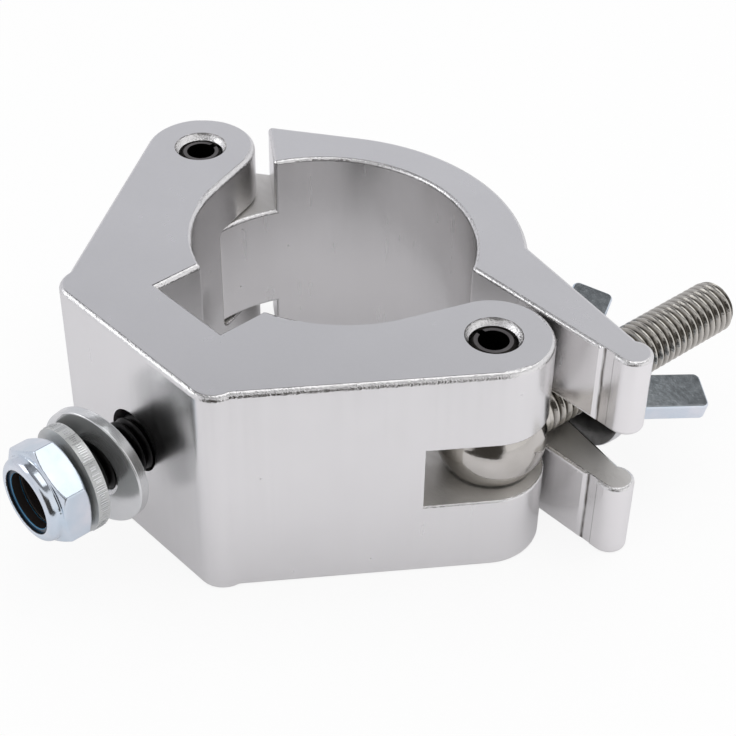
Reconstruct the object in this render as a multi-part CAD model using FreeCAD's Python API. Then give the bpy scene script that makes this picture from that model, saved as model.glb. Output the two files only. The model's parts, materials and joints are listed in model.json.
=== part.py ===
"""Half coupler: a hinged aluminium pipe clamp with a swing bolt and a mounting bolt.

Frame: Z is the tube axis, the origin is the tube's centre at mid-width, -Y points out of the nose
along the mounting bolt, and X runs from the hinge pin to the swing-bolt pin. Lengths are millimetres.
"""
import FreeCAD, Part
import math
import os

from FreeCAD import Vector

Z = Vector(0, 0, 1)

# Extrusions
tube_radius = 26.0              # bore of the base body and of the jaw
width = 41.6                    # length of both extrusions along the tube
edge_round = 0.7                # tumbled round of the sawn outlines and of the jaw's cut edges
sharp_turn = 20.0               # degrees between faces, from which tumbling rounds an edge

# Base body
boss_radius = 9.9               # ears round the two pins
boss_clearance = 1.5            # from the tube to the ears
pin_drop = 1.9                  # pin line below the tube's centre
nose_reach = 46.3               # tube centre to the flat nose
nose_width = 36.4               # between the sharp corners of the nose
nose_corner_round = 2.1
nose_wall = 12.7                # metal between the nose and the bolt head
slot_floor = 11.9               # pin centre to the floor of either slot
slot_corner_round = 1.2         # at the floor of the hinge slot
slot_edge_round = 0.4           # level edges of both slots

# Roll pins
pin_radius = 4.0
pin_bore_radius = 2.55
pin_recess = 1.0                # pin end below the end face
pin_end_bevel = 0.8
pin_slit = 1.2
pin_fit = 0.02                  # radial, in the base body
pin_running_fit = 0.06          # radial, in the jaw and in the eye
pin_hole_bevel = 1.2

# Jaw
jaw_closed_turn = 7.6           # degrees the empty jaw closes past the tube
jaw_wall = 7.9                  # ring at its crown
jaw_outer_shift_x = 0.5         # outer arc's centre from the bore's
jaw_outer_shift_y = -1.8
tongue_height = 20.8
tongue_fit = 0.3                # each side, in the hinge slot
tongue_radius = 9.6
tongue_heel_gap = 0.9           # heel of the tongue to the slot floor
ear_gap = 2.9                   # end faces of the jaw to the ears
end_face_turn = 55.0            # degrees from X to the normal of the end faces
arm_stop_gap = 0.5              # closed arm to the ear that it comes down on
arm_thickness = 8.7             # over the swing-bolt pin
arm_taper = 11.0                # degrees
arm_reach = 20.5                # swing-bolt pin to the tip
tip_radius = 3.1                # bead that keeps the washer on the arm
grip_groove_width = 2.1
grip_groove_depth = 0.4
grip_groove_ramp = 1.0          # length of its sloping side
grip_groove_from_tip = 4.55
fork_gap = 1.0                  # each side of the swing bolt
fork_end_shift = 0.6            # from the bolt's axis to the slot's round end

# Swing bolt, wing nut and washer
thread_radius = 4.87            # M10 over the thread crests
thread_fit = 0.08               # radial, in both nuts
thread_end_bevel = 1.0
swing_bolt_lean = 2.6           # degrees towards the tip of the arm
swing_bolt_length = 57.0        # pin to end
eye_radius = 9.4
eye_flat_radius = 7.3
eye_shift = 1.0                 # from the pin to the middle of the eye's round, along the bolt
eye_thickness = 11.4
eye_fit = 0.3                   # each side, in the slot
washer_hole_fit = 0.38          # radial, on the swing bolt
washer_radius = 11.5
washer_thickness = 2.2
washer_tilt = 2.4               # degrees, leaning towards the arm
washer_gap = 0.3                # washer to the closed arm
washer_edge_round = 0.3         # rims of both flat washers
stack_gap = 0.05                # between a washer and what stands on it
hub_base_radius = 8.8
hub_top_radius = 6.8
hub_height = 7.0
wing_span_radius = 17.2
wing_height = 17.3
wing_width = 7.5
wing_slope = 30.0               # degrees from the bolt's axis
wing_thickness = 3.4
wing_corner_round = 1.2
wing_edge_round = 0.5
wing_foot = 1.0                 # underside of the wings above the hub's base
wing_foot_round = 2.5
wing_rest_turn = 13.0           # degrees about the bolt

# Mounting bolt, washers and lock nut
bolt_length = 30.0
bolt_hole_fit = 0.83            # radial, in the nose
bolt_sag = 0.75                 # the loose bolt lies low in its hole
hex_across_flats = 16.0
hex_bevel_angle = 30.0          # degrees
head_height = 6.4
head_side_fit = 0.2             # each side, in the groove
flat_washer_radius = 10.5
flat_washer_hole_fit = 0.63     # radial, on the mounting bolt
flat_washer_thickness = 2.0
flat_washer_tilt = 12.0         # degrees, hanging loose on the bolt
flat_washer_shift = 0.2         # sideways from the bolt's axis, once it lies flat
flat_washer_sag = 0.2           # below the bolt's axis
spring_washer_radius = 9.05
spring_washer_hole_fit = 0.23   # radial, on the mounting bolt
spring_washer_thickness = 2.2
spring_washer_rise = 1.5        # over its one turn
spring_washer_split = 14.0      # degrees left open
spring_washer_turn = 208.0      # degrees from X to the end next to the nose
spring_washer_rest = 10.4       # nose to the spring washer
lock_nut_hex_height = 4.9
lock_nut_height = 7.0
collar_radius = 7.4
collar_round = 1.4
collar_mouth_radius = 5.6
insert_radius = 6.4
insert_length = 1.9
insert_lip = 0.5                # collar rolled over the insert

# Places that follow from the sizes
half_width = width / 2
pin_x = tube_radius + boss_clearance + boss_radius
hinge = Vector(-pin_x, -pin_drop, 0)
swing = Vector(pin_x, -pin_drop, 0)
pin_length = width - 2 * pin_recess
groove_half = hex_across_flats / 2 + head_side_fit
seat_reach = nose_reach - nose_wall


def polar(centre, radius, degrees):
    """Point on a circle in the plan."""
    turn = math.radians(degrees)
    return centre + Vector(radius * math.cos(turn), radius * math.sin(turn), 0)


def bearing(start, end):
    """Direction from one plan point to another, in degrees."""
    step = end - start
    return math.degrees(math.atan2(step.y, step.x))


def line(start, end):
    return Part.LineSegment(start, end).toShape()


def arc(centre, radius, start, end):
    """Arc from one angle to another, in degrees, turning the way that the numbers run."""
    points = [polar(centre, radius, turn) for turn in (start, (start + end) / 2, end)]
    return Part.Arc(*points).toShape()


def outline(corners):
    """Closed outline through (point, corner radius) pairs."""
    cuts = []
    for i, (point, radius) in enumerate(corners):
        before = (corners[i - 1][0] - point).normalize()
        after = (corners[(i + 1) % len(corners)][0] - point).normalize()
        half = before.getAngle(after) / 2
        setback = radius / math.tan(half)
        middle = point + (before + after).normalize() * (radius / math.sin(half) - radius)
        cuts.append((point + before * setback, middle, point + after * setback))
    edges = []
    for i, (start, middle, end) in enumerate(cuts):
        edges.append(line(cuts[i - 1][2], start))
        if (end - start).Length > 0:
            edges.append(Part.Arc(start, middle, end).toShape())
    return Part.Wire(edges)


def prism(wire, height):
    """Solid on a closed plan outline, centred on the mid-plane."""
    solid = Part.Face(wire).extrude(Z * height)
    solid.translate(Z * (-height / 2))
    return solid


def joined(edges):
    """One closed wire from edges in any order."""
    return Part.Wire(Part.__sortEdges__(edges))


def turned(points):
    """Solid of revolution about Z from (radius, height) points."""
    corners = [Vector(radius, 0, height) for radius, height in points]
    wire = Part.makePolygon(corners + corners[:1])
    return Part.Face(wire).revolve(Vector(), Z, 360)


def ring(outer, inner, height):
    """Washer on Z, from z = 0."""
    return Part.makeCylinder(outer, height).cut(Part.makeCylinder(inner, height))


def stamped_ring(outer, inner, height):
    """Washer on Z with both edges of its rim rounded."""
    body = ring(outer, inner, height)
    rims = [edge for edge in body.Edges if edge.Closed and edge.Curve.Radius == outer]
    return body.makeFillet(washer_edge_round, rims)


def outward_edges(solid):
    """Edges at which the surface turns sharply away from the metal."""
    step = 0.02
    tolerance = 1e-4
    found = []
    for edge in solid.Edges:
        faces = solid.ancestorsOfType(edge, Part.Face)
        if len(faces) != 2:
            continue
        middle = edge.valueAt((edge.FirstParameter + edge.LastParameter) / 2)
        first, second = [face.normalAt(*face.Surface.parameter(middle)) for face in faces]
        turn = math.degrees(first.getAngle(second))
        beside = middle + (first - second) * step
        if turn > sharp_turn and not solid.isInside(beside, tolerance, True):
            found.append(edge)
    return found


def level(edges):
    """Those of the edges that run at one height."""
    tolerance = 1e-6
    return [edge for edge in edges if abs(edge.Vertexes[0].Z - edge.Vertexes[-1].Z) < tolerance]


def rounded_uprights(solid, radius, places):
    """Rounds the upright edges that stand on the given plan points."""
    tolerance = 1e-6
    edges = []
    for edge in solid.Edges:
        ends = [Vector(vertex.X, vertex.Y, 0) for vertex in edge.Vertexes]
        on_place = any((ends[0] - place).Length < tolerance for place in places)
        if on_place and (ends[0] - ends[-1]).Length < tolerance:
            edges.append(edge)
    return solid.makeFillet(radius, edges)


def arm_direction(side):
    """Bearing of the base body's straight flank, from the nose towards the ear."""
    corner = Vector(nose_width / 2, -nose_reach, 0)
    reach = (swing - corner).Length
    turn = bearing(corner, swing) - math.degrees(math.asin(boss_radius / reach))
    return turn if side > 0 else 180 - turn


def slot_tool(pin, side, height):
    """Block that clears the end of an arm, from the slot floor outwards."""
    length = slot_floor + 2 * boss_radius
    breadth = 4 * boss_radius
    block = Part.makeBox(length, breadth, height, Vector(-slot_floor, -breadth / 2, -height / 2))
    block.rotate(Vector(), Z, arm_direction(side))
    block.translate(pin)
    return block


def hinge_slot_tool():
    """Hinge slot, with the cutter's round in the two corners of its floor."""
    tool = slot_tool(hinge, -1, tongue_height + 2 * tongue_fit)
    floor = polar(hinge, slot_floor, arm_direction(-1) + 180)
    outwards = polar(Vector(), 1, arm_direction(-1))
    tolerance = 1e-6
    edges = [
        edge for edge in tool.Edges
        if all(abs((vertex.Point - floor).dot(outwards)) < tolerance for vertex in edge.Vertexes)
        and abs(edge.Vertexes[0].Z - edge.Vertexes[-1].Z) < tolerance
    ]
    return tool.makeFillet(slot_corner_round, edges)


def pin_hole(pin):
    """Hole for a roll pin, bevelled at both ends."""
    radius = pin_radius + pin_fit
    hole = turned([
        (0, -half_width),
        (radius + pin_hole_bevel, -half_width),
        (radius, -half_width + pin_hole_bevel),
        (radius, half_width - pin_hole_bevel),
        (radius + pin_hole_bevel, half_width),
        (0, half_width),
    ])
    hole.translate(pin)
    return hole


def base_side(side):
    """Outline of one side, from the bolt-head groove round the ear to the nose."""
    corner = Vector(nose_width / 2, -nose_reach, 0)
    flank = arm_direction(1)
    flank_end = polar(swing, boss_radius, flank - 90)
    lean = math.degrees(math.acos((tube_radius + boss_radius) / swing.Length))
    throat = bearing(Vector(), swing) - lean
    groove_top = -math.sqrt(tube_radius ** 2 - groove_half ** 2)
    groove_edge = Vector(groove_half, groove_top, 0)
    edges = [
        line(corner, flank_end),
        arc(swing, boss_radius, flank - 90, throat + 180),
        line(polar(swing, boss_radius, throat + 180), polar(Vector(), tube_radius, throat)),
        arc(Vector(), tube_radius, throat, bearing(Vector(), groove_edge)),
        line(groove_edge, Vector(groove_half, -seat_reach, 0)),
    ]
    if side < 0:
        edges = [edge.mirror(Vector(), Vector(1, 0, 0)) for edge in edges]
    return edges


def base_body():
    half_nose = nose_width / 2
    edges = base_side(1) + base_side(-1) + [
        line(Vector(-half_nose, -nose_reach, 0), Vector(half_nose, -nose_reach, 0)),
        line(Vector(-groove_half, -seat_reach, 0), Vector(groove_half, -seat_reach, 0)),
    ]
    body = prism(joined(edges), width)
    corners = [Vector(side * half_nose, -nose_reach, 0) for side in (-1, 1)]
    body = rounded_uprights(body, nose_corner_round, corners)
    body = body.makeFillet(edge_round, outward_edges(body))
    tongue_slot = hinge_slot_tool()
    eye_slot = slot_tool(swing, 1, eye_thickness + 2 * eye_fit)
    body = body.cut([tongue_slot, eye_slot])
    body = body.makeFillet(slot_edge_round, level(outward_edges(body)))
    bolt_hole = Part.makeCylinder(
        thread_radius + bolt_hole_fit, 2 * nose_wall, Vector(0, -nose_reach - nose_wall / 2, 0), Vector(0, 1, 0))
    return body.cut([pin_hole(hinge), pin_hole(swing), bolt_hole])


def roll_pin(pin, slit_turn):
    """Split spring pin with bevelled ends."""
    half = pin_length / 2
    flat = pin_radius - pin_end_bevel
    body = turned([
        (pin_bore_radius, -half),
        (flat, -half),
        (pin_radius, -half + pin_end_bevel),
        (pin_radius, half - pin_end_bevel),
        (flat, half),
        (pin_bore_radius, half),
    ])
    slit = Part.makeBox(2 * pin_radius, pin_slit, pin_length, Vector(0, -pin_slit / 2, -half))
    slit.rotate(Vector(), Z, slit_turn)
    body = body.cut(slit)
    body.translate(pin)
    return body


jaw_centre = hinge + FreeCAD.Rotation(Z, -jaw_closed_turn).multVec(Vector() - hinge)
outer_centre = jaw_centre + Vector(jaw_outer_shift_x, jaw_outer_shift_y, 0)
outer_radius = tube_radius + jaw_wall - jaw_outer_shift_y
arm_inner = swing.y + boss_radius + arm_stop_gap
tip_x = swing.x + arm_reach
tip_centre = Vector(tip_x - tip_radius, arm_inner + tip_radius, 0)


def crossing(centre, radius, point, turn, near):
    """Where a straight line through a point, at a bearing, meets a circle, on the side of near."""
    along = polar(Vector(), 1, turn)
    foot = point + along * (centre - point).dot(along)
    reach = math.sqrt(radius ** 2 - (centre - foot).Length ** 2)
    return min((foot + along * reach, foot - along * reach), key=lambda place: (place - near).Length)


def jaw_outline():
    """Plan of the jaw at the level of its tongue."""
    arm_end = Vector(tip_centre.x, arm_inner, 0)
    arm_root = crossing(jaw_centre, tube_radius, arm_end, 0, arm_end)
    arm_top = Vector(swing.x, arm_inner + arm_thickness, 0)
    shoulder = crossing(outer_centre, outer_radius, arm_top, -arm_taper, arm_top)
    lip = crossing(tip_centre, tip_radius, arm_top, -arm_taper, arm_top)
    centre_line = bearing(hinge, outer_centre)
    spread = math.degrees(math.asin((outer_radius - tongue_radius) / (outer_centre - hinge).Length))
    flank = centre_line + spread
    heel_line = polar(hinge, slot_floor - tongue_heel_gap, arm_direction(-1) + 180)
    hinge_side = jaw_centre - Vector(tube_radius, 0, 0)
    heel = crossing(jaw_centre, tube_radius, heel_line, arm_direction(-1) - 90, hinge_side)
    heel_reach = (heel - hinge).Length
    heel_turn = bearing(hinge, heel) - math.degrees(math.acos(tongue_radius / heel_reach))
    return [
        arc(jaw_centre, tube_radius, bearing(jaw_centre, heel) % 360, bearing(jaw_centre, arm_root)),
        line(arm_root, arm_end),
        arc(tip_centre, tip_radius, -90, bearing(tip_centre, lip)),
        line(lip, shoulder),
        arc(outer_centre, outer_radius, bearing(outer_centre, shoulder), flank + 90),
        line(polar(outer_centre, outer_radius, flank + 90), polar(hinge, tongue_radius, flank + 90)),
        arc(hinge, tongue_radius, flank + 90, heel_turn + 360),
        line(polar(hinge, tongue_radius, heel_turn), heel),
    ]


def ear_recess(side):
    """Block that takes the jaw off above or below its tongue, in front of an ear."""
    reach = boss_radius + ear_gap
    depth = 4 * boss_radius
    breadth = 8 * boss_radius
    block = Part.makeBox(depth, breadth, width, Vector(reach - depth, -breadth / 2, -half_width))
    block.rotate(Vector(), Z, end_face_turn)
    block.translate(hinge + Z * side * (tongue_height / 2 + half_width))
    return block


def fork_tool():
    """Slot for the swing bolt: round at its closed end, open at the tip."""
    half = thread_radius + fork_gap
    depth = 4 * arm_thickness
    axis_x = swing.x + arm_thickness * math.tan(math.radians(swing_bolt_lean)) - fork_end_shift
    start = Vector(axis_x, arm_inner - arm_thickness, 0)
    round_end = Part.makeCylinder(half, depth, start, Vector(0, 1, 0))
    run = Part.makeBox(2 * arm_reach, depth, 2 * half, start - Z * half)
    return round_end.fuse(run)


def grip_groove():
    """Shallow relief across the arm's inner face, just behind the bead at the tip."""
    end = tip_x - grip_groove_from_tip
    start = end - grip_groove_width
    corners = [
        (Vector(end, arm_inner - grip_groove_depth, 0), 0),
        (Vector(end, arm_inner + grip_groove_depth, 0), 0),
        (Vector(start, arm_inner + grip_groove_depth, 0), 0),
        (Vector(start - 2 * grip_groove_ramp, arm_inner - grip_groove_depth, 0), 0),
    ]
    return prism(outline(corners), width)


def jaw():
    body = prism(joined(jaw_outline()), width)
    body = body.cut([ear_recess(1), ear_recess(-1), fork_tool()])
    body = body.makeFillet(edge_round, outward_edges(body))
    hinge_hole = Part.makeCylinder(pin_radius + pin_running_fit, width, hinge - Z * half_width)
    return body.cut([grip_groove(), hinge_hole])


def along_swing_bolt(solid, distance):
    """Carries a solid made on +Z to the swing bolt, its foot this far from the pin."""
    solid = solid.copy()
    solid.rotate(Vector(), Vector(1, 0, 0), -90)
    solid.translate(Vector(0, distance, 0))
    solid.rotate(Vector(), Z, -swing_bolt_lean)
    solid.translate(swing)
    return solid


def threaded_shank(length):
    """Bolt shank on +Z at the size of the thread crests, bevelled at its end."""
    return turned([
        (0, 0),
        (thread_radius, 0),
        (thread_radius, length - thread_end_bevel),
        (thread_radius - thread_end_bevel, length),
        (0, length),
    ])


def swing_bolt():
    half = eye_thickness / 2
    low = Vector(eye_flat_radius, 0, -half)
    high = Vector(eye_flat_radius, 0, half)
    edges = [
        Part.Arc(low, Vector(eye_radius, 0, 0), high).toShape(),
        line(high, Z * half),
        line(Z * half, Z * -half),
        line(Z * -half, low),
    ]
    eye = Part.Face(joined(edges)).revolve(Vector(), Z, 360)
    eye.translate(polar(swing, eye_shift, 90 - swing_bolt_lean))
    bolt = eye.fuse(along_swing_bolt(threaded_shank(swing_bolt_length), 0))
    hole = Part.makeCylinder(pin_radius + pin_running_fit, eye_thickness, swing - Z * half)
    return bolt.cut(hole)


def washer_place():
    """Distance from the pin to the washer, whose rim stands just off the sloping arm."""
    arm_turn = math.radians(arm_taper - swing_bolt_lean)
    rim_rise = washer_radius * math.sin(arm_turn - math.radians(washer_tilt))
    arm_height = (boss_radius + arm_stop_gap + arm_thickness) * math.cos(math.radians(arm_taper))
    return (arm_height + rim_rise + washer_gap) / math.cos(arm_turn)


def wing_nut_washer():
    body = stamped_ring(washer_radius, thread_radius + washer_hole_fit, washer_thickness)
    body.rotate(Vector(), Vector(0, 1, 0), washer_tilt)
    return along_swing_bolt(body, washer_place())


def wing(side):
    """One wing: a slanting plate with rounded corners, rooted in the hub."""
    slope = math.radians(wing_slope)
    root = (hub_top_radius + thread_radius) / 2
    inner = Vector(wing_span_radius - wing_width * math.cos(slope), 0, wing_height)
    outer = Vector(wing_span_radius, 0, wing_height - wing_width * math.sin(slope))
    inner_foot = Vector(root, 0, inner.z - (inner.x - root) / math.tan(slope))
    outer_foot = Vector(outer.x - (outer.z - wing_foot) * math.tan(slope), 0, wing_foot)
    corners = [
        (Vector(root, 0, wing_foot), 0),
        (outer_foot, wing_foot_round),
        (outer, wing_corner_round),
        (inner, wing_corner_round),
        (inner_foot, 0),
    ]
    solid = Part.Face(outline(corners)).extrude(Vector(0, wing_thickness, 0))
    solid = solid.makeFillet(wing_edge_round, outward_edges(solid))
    solid.translate(Vector(0, -wing_thickness / 2, 0))
    if side < 0:
        solid.rotate(Vector(), Z, 180)
    return solid


def wing_nut():
    hub = turned([(0, 0), (hub_base_radius, 0), (hub_top_radius, hub_height), (0, hub_height)])
    nut = hub.fuse([wing(1), wing(-1)])
    nut = nut.cut(Part.makeCylinder(thread_radius + thread_fit, wing_height))
    nut.rotate(Vector(), Z, wing_rest_turn)
    tilt = math.radians(washer_tilt)
    washer_top = washer_thickness / math.cos(tilt) + hub_base_radius * math.tan(tilt)
    return along_swing_bolt(nut, washer_place() + washer_top + stack_gap)


def along_nose(solid, reach):
    """Carries a solid made on +Z to the mounting bolt, pointing out of the nose from this reach."""
    solid = solid.copy()
    solid.rotate(Vector(), Vector(1, 0, 0), 90)
    solid.translate(Vector(0, -reach, -bolt_sag))
    return solid


def hexagon(height, both_ends):
    """Hexagonal bar on Z with two flats across X, its corners bevelled at the top or at both ends."""
    corner_radius = hex_across_flats / math.sqrt(3)
    corners = [polar(Vector(), corner_radius, 30 + 60 * i) for i in range(6)]
    bar = Part.Face(Part.makePolygon(corners + corners[:1])).extrude(Z * height)
    drop = (corner_radius - hex_across_flats / 2) * math.tan(math.radians(hex_bevel_angle))
    flat = hex_across_flats / 2
    foot = [(flat, 0), (corner_radius, drop)] if both_ends else [(corner_radius, 0)]
    bevel = turned([(0, 0)] + foot + [(corner_radius, height - drop), (flat, height), (0, height)])
    return bar.common(bevel)


def mounting_bolt():
    head = hexagon(head_height, False)
    head.rotate(Vector(), Vector(1, 0, 0), 180)
    return along_nose(head.fuse(threaded_shank(bolt_length)), seat_reach)


spring_reach = nose_reach + spring_washer_rest
lock_nut_reach = spring_reach + spring_washer_thickness + spring_washer_rise + stack_gap


def flat_washer():
    """Loose washer, tipped about the rim where it leans on the spring washer."""
    body = stamped_ring(flat_washer_radius, thread_radius + flat_washer_hole_fit, flat_washer_thickness)
    body = along_nose(body, spring_reach - stack_gap - flat_washer_thickness)
    body.translate(Vector(flat_washer_shift, 0, -flat_washer_sag))
    body.rotate(Vector(-spring_washer_radius, -spring_reach, 0), Z, flat_washer_tilt)
    return body


def spring_washer():
    """Split ring of square wire, wound left-handed so that its ends bite when the nut turns back."""
    inner = thread_radius + spring_washer_hole_fit
    turn = (360 - spring_washer_split) / 360
    middle = (inner + spring_washer_radius) / 2
    path = Part.makeHelix(spring_washer_rise / turn, spring_washer_rise, middle, 0, True)
    corners = [
        Vector(inner, 0, 0),
        Vector(spring_washer_radius, 0, 0),
        Vector(spring_washer_radius, 0, spring_washer_thickness),
        Vector(inner, 0, spring_washer_thickness),
    ]
    section = Part.makePolygon(corners + corners[:1])
    body = Part.Wire(path).makePipeShell([section], True, True)
    body.rotate(Vector(), Z, spring_washer_turn)
    return along_nose(body, spring_reach)


def lock_nut():
    bar = hexagon(lock_nut_hex_height, True)
    collar = Part.makeCylinder(collar_radius, lock_nut_height)
    rim = [edge for edge in collar.Edges if edge.Closed and edge.Vertexes[0].Z == lock_nut_height]
    collar = collar.makeFillet(collar_round, rim)
    seat_end = lock_nut_height - insert_lip
    seat_start = seat_end - insert_length
    bore = turned([
        (0, 0),
        (thread_radius + thread_fit, 0),
        (thread_radius + thread_fit, seat_start),
        (insert_radius, seat_start),
        (insert_radius, seat_end),
        (collar_mouth_radius, seat_end),
        (collar_mouth_radius, lock_nut_height),
        (0, lock_nut_height),
    ])
    return along_nose(bar.fuse(collar).cut(bore), lock_nut_reach)


def lock_nut_insert():
    start = lock_nut_height - insert_lip - insert_length
    return along_nose(ring(insert_radius, thread_radius + thread_fit, insert_length), lock_nut_reach + start)


parts = {
    "base_body": base_body(),
    "jaw": jaw(),
    "hinge_pin": roll_pin(hinge, 90),
    "swing_bolt_pin": roll_pin(swing, 180),
    "swing_bolt": swing_bolt(),
    "wing_nut_washer": wing_nut_washer(),
    "wing_nut": wing_nut(),
    "mounting_bolt": mounting_bolt(),
    "flat_washer": flat_washer(),
    "spring_washer": spring_washer(),
    "lock_nut": lock_nut(),
    "lock_nut_insert": lock_nut_insert(),
}

os.makedirs("parts", exist_ok=True)
for name, shape in parts.items():
    shape.exportStep(f"parts/{name}.step")
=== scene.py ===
# %% [markdown]
# # A half coupler on a studio table
# The clamp is cut from two aluminium extrusions, and closed by a swing bolt with a wing nut.
# Its solids come from the CAD model, in metres and already in place.
# Blender adds what the solids leave out: rolled threads, fuller rounds, wear on the edges,
# and the finish of each metal.

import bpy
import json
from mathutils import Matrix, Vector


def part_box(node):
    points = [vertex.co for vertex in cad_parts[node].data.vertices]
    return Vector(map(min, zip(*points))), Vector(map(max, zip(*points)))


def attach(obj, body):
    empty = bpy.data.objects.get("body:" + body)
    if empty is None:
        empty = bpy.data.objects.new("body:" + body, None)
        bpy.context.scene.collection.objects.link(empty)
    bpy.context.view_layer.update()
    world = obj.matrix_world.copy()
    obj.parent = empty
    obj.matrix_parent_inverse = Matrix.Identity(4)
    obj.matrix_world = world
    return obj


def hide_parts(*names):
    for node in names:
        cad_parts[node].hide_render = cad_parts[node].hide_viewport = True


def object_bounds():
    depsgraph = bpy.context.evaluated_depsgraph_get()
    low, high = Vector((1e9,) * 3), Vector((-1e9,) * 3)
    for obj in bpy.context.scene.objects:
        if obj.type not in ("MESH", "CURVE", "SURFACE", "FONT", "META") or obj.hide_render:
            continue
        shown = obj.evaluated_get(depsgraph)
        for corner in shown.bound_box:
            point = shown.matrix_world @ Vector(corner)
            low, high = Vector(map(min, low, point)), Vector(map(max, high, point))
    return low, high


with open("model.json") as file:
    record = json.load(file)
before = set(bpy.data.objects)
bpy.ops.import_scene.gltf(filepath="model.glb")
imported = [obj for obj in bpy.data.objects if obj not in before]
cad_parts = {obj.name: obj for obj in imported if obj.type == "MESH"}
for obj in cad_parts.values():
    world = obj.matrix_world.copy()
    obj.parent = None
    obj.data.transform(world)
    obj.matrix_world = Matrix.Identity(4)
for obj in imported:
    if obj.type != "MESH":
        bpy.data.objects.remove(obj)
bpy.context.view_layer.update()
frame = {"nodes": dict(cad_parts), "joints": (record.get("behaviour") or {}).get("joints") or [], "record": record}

import json
import math

import bmesh
import bpy
from mathutils import Matrix, Vector

MM = 0.001
record = frame["record"]
joints = {joint["name"]: joint for joint in frame["joints"]}
body_of = {node: body for body, nodes in record["behaviour"]["bodies"].items() for node in nodes}

# %% [markdown]
# ## Node trees as sums
# Materials and geometry trees are both graphs of small nodes, and drawing them node by node is hard to read.
# A wire stands for one output of a node. Adding or multiplying wires adds the Math node that does it.

# %% Wires


class Wire:
    """One output of a node, which Python expressions can use."""

    def __init__(self, graph, socket):
        self.graph = graph
        self.socket = socket

    def out(self, name):
        """Another output of the same node."""
        return Wire(self.graph, find(self.socket.node.outputs, name))

    def __add__(self, other):
        return self.graph.math("ADD", self, other)

    def __sub__(self, other):
        return self.graph.math("SUBTRACT", self, other)

    def __rsub__(self, other):
        return self.graph.math("SUBTRACT", other, self)

    def __mul__(self, other):
        return self.graph.math("MULTIPLY", self, other)

    def __truediv__(self, other):
        return self.graph.math("DIVIDE", self, other)

    def __rtruediv__(self, other):
        return self.graph.math("DIVIDE", other, self)

    def __lt__(self, other):
        return self.graph.math("LESS_THAN", self, other)

    def __gt__(self, other):
        return self.graph.math("GREATER_THAN", self, other)

    __radd__ = __add__
    __rmul__ = __mul__


def find(sockets, key):
    """A socket by its number, its identifier or its name."""
    if isinstance(key, int):
        return sockets[key]
    by_identifier = [socket for socket in sockets if socket.identifier == key]
    return by_identifier[0] if by_identifier else sockets[key]


print("wires join with", [name for name in vars(Wire) if name.startswith("__") and name != "__init__"])

# %% [markdown]
# ## Graphs
# A graph holds the tree that the wires run in. Every kind of node comes from its one method called node,
# which sets the node up first and then feeds its sockets. The other methods are short names for common nodes.

# %% Graphs


class Graph:
    """A node tree that is written as expressions."""

    def __init__(self, tree):
        self.tree = tree

    def feed(self, socket, value):
        """Links a wire to a socket, or sets the socket's own value."""
        if isinstance(value, Wire):
            self.tree.links.new(value.socket, socket)
        else:
            socket.default_value = value

    def node(self, kind, settings=(), inputs=(), output=0):
        """Adds a node, sets it up, feeds its sockets and returns one of its outputs."""
        made = self.tree.nodes.new(kind)
        for name, value in dict(settings).items():
            if name == "stops":
                ramp = made.color_ramp.elements
                while len(ramp) < len(value):
                    ramp.new(1)
                for element, (place, grey) in zip(ramp, value):
                    element.position = place
                    element.color = (grey, grey, grey, 1)
            else:
                setattr(made, name, value)
        for key, value in dict(inputs).items():
            self.feed(find(made.inputs, key), value)
        return Wire(self, find(made.outputs, output)) if len(made.outputs) else None

    def math(self, operation, *values):
        return self.node("ShaderNodeMath", {"operation": operation}, enumerate(values))

    def clamp(self, value):
        return self.node("ShaderNodeClamp", {}, {"Value": value})

    def blend(self, factor, first, second, way="MIX"):
        """Mixes two colours."""
        return self.node("ShaderNodeMix", {"data_type": "RGBA", "blend_type": way},
                         {"Factor_Float": factor, "A_Color": first, "B_Color": second}, "Result_Color")

    def vector(self, operation, *values, output="Vector"):
        return self.node("ShaderNodeVectorMath", {"operation": operation}, enumerate(values), output)


print("graphs can", [name for name in vars(Graph) if not name.startswith("__")])

# %% [markdown]
# ## Patterns for metal
# A plain colour looks like plastic, because real metal is never quite even.
# Image textures could bring the unevenness, but noise needs no file and no unwrapping, so noise is used here.
# The patterns read Object coordinates. Every piece sits at the origin,
# so these are metres in the part's own frame.
# A noise that is stretched along one axis looks like die lines, and a very fine one like grain.

# %% Pattern helpers
EVEN = (1, 1, 1)


def noise(graph, size, stretch=EVEN, detail=2.0):
    """A soft pattern whose marks are about this many metres across, longer along a stretched axis."""
    place = graph.node("ShaderNodeTexCoord", output="Object")
    scale = [1 / (size * longer) for longer in stretch]
    place = graph.node("ShaderNodeMapping", {}, {"Vector": place, "Scale": scale})
    return graph.node("ShaderNodeTexNoise", {}, {"Vector": place, "Scale": 1.0, "Detail": detail}, "Fac")


def pits(graph, size, share, width):
    """1 in small round marks, in this share of cells of the given size, and 0 elsewhere."""
    place = graph.node("ShaderNodeTexCoord", output="Object")
    cell = graph.node("ShaderNodeTexVoronoi", {}, {"Vector": place, "Scale": 1 / size}, "Distance")
    chance = graph.node("ShaderNodeSeparateColor", {}, {"Color": cell.out("Color")}, "Red")
    return (cell < width) * (chance < share)


print("patterns:", [helper.__name__ for helper in (noise, pits)])

# %% [markdown]
# ## One recipe for every finish
# Each finish is a Principled shader whose colour, roughness and bump vary a little over the surface.
# Writing the graph once and handing it small functions keeps the finishes alike and short.

# %% Finish recipe
# The dark grey of painted shade, laid into the corners of the jaw's groove.
PAINTED_SHADE = (0.16, 0.15, 0.14, 1)


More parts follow.
